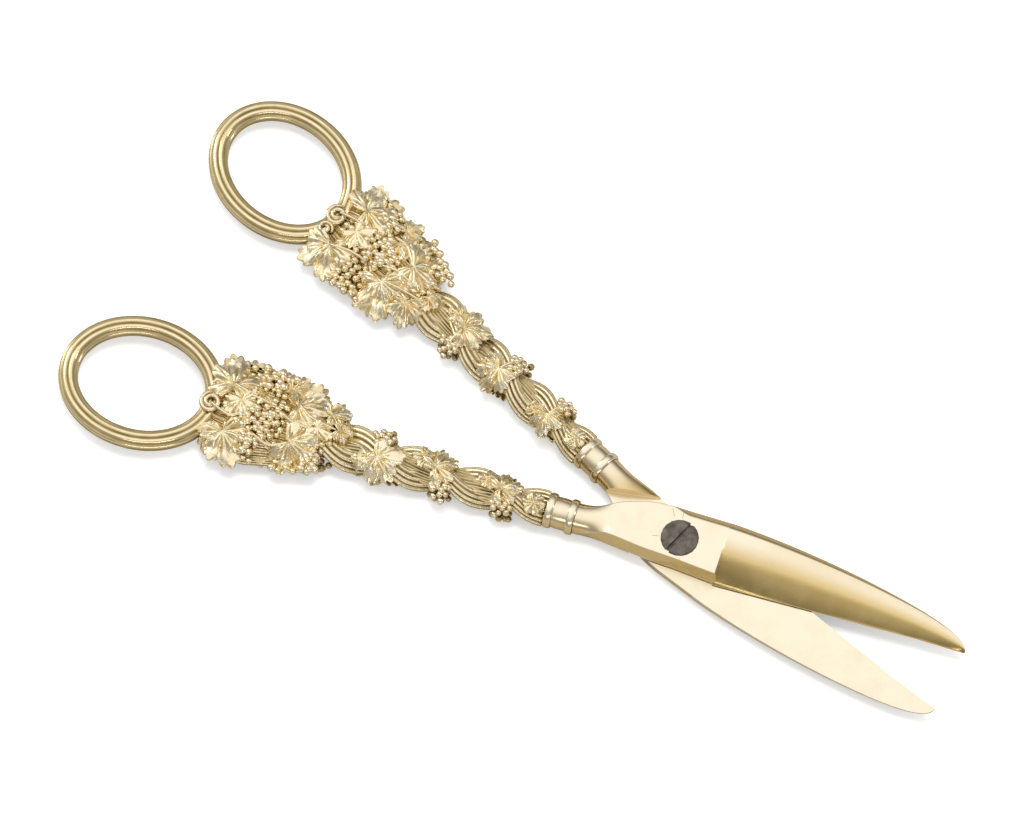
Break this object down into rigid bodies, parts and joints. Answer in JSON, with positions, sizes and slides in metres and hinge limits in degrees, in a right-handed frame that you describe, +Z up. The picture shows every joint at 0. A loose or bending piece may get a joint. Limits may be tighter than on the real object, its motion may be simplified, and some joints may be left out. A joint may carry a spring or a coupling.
{
  "type": "grape shears",
  "caption": "Gilt table shears for cutting grape stems: half-round blades on a slotted screw, oval finger rings, and handles twisted like a vine with leaves and grapes.",
  "frame": {"origin": "on the pivot axis, at the height of the table that the shears lie on", "axes": "+X along the shears towards the blade tips, +Y towards the lower half's finger ring, +Z up along the pivot axis"},
  "size_m": [0.1747, 0.077, 0.0081],
  "materials": {
    "polished_gilt": "polished gold plate, faint wipe marks",
    "cast_gilt": "cast and chased gold plate, darker in the recesses",
    "dark_steel": "dark oxidised steel, satin"
  },
  "bodies": {
    "lower_half": {"lower_blade": "polished_gilt", "pivot_screw": "dark_steel", "lower_ferrule": "polished_gilt", "lower_finger_ring": "cast_gilt", "lower_vine_strand_1": "cast_gilt", "lower_vine_strand_2": "cast_gilt", "lower_outer_leaf_spray": "cast_gilt", "lower_outer_sprig_1": "cast_gilt", "lower_outer_sprig_2": "cast_gilt", "lower_outer_sprig_3": "cast_gilt", "lower_outer_collar_flower": "cast_gilt", "lower_inner_leaf_spray": "cast_gilt", "lower_inner_sprig_1": "cast_gilt", "lower_inner_sprig_2": "cast_gilt", "lower_inner_sprig_3": "cast_gilt", "lower_inner_collar_flower": "cast_gilt"},
    "upper_half": {"upper_blade": "polished_gilt", "upper_ferrule": "polished_gilt", "upper_finger_ring": "cast_gilt", "upper_vine_strand_1": "cast_gilt", "upper_vine_strand_2": "cast_gilt", "upper_outer_leaf_spray": "cast_gilt", "upper_outer_sprig_1": "cast_gilt", "upper_outer_sprig_2": "cast_gilt", "upper_outer_sprig_3": "cast_gilt", "upper_outer_collar_flower": "cast_gilt", "upper_inner_leaf_spray": "cast_gilt", "upper_inner_sprig_1": "cast_gilt", "upper_inner_sprig_2": "cast_gilt", "upper_inner_sprig_3": "cast_gilt", "upper_inner_collar_flower": "cast_gilt"}
  },
  "joints": [
    {"name": "pivot", "type": "hinge", "parent": "lower_half", "child": "upper_half", "pos_m": [0, 0, 0], "axis": [0, 0, 1], "range_deg": [-11, 65]}
  ]
}
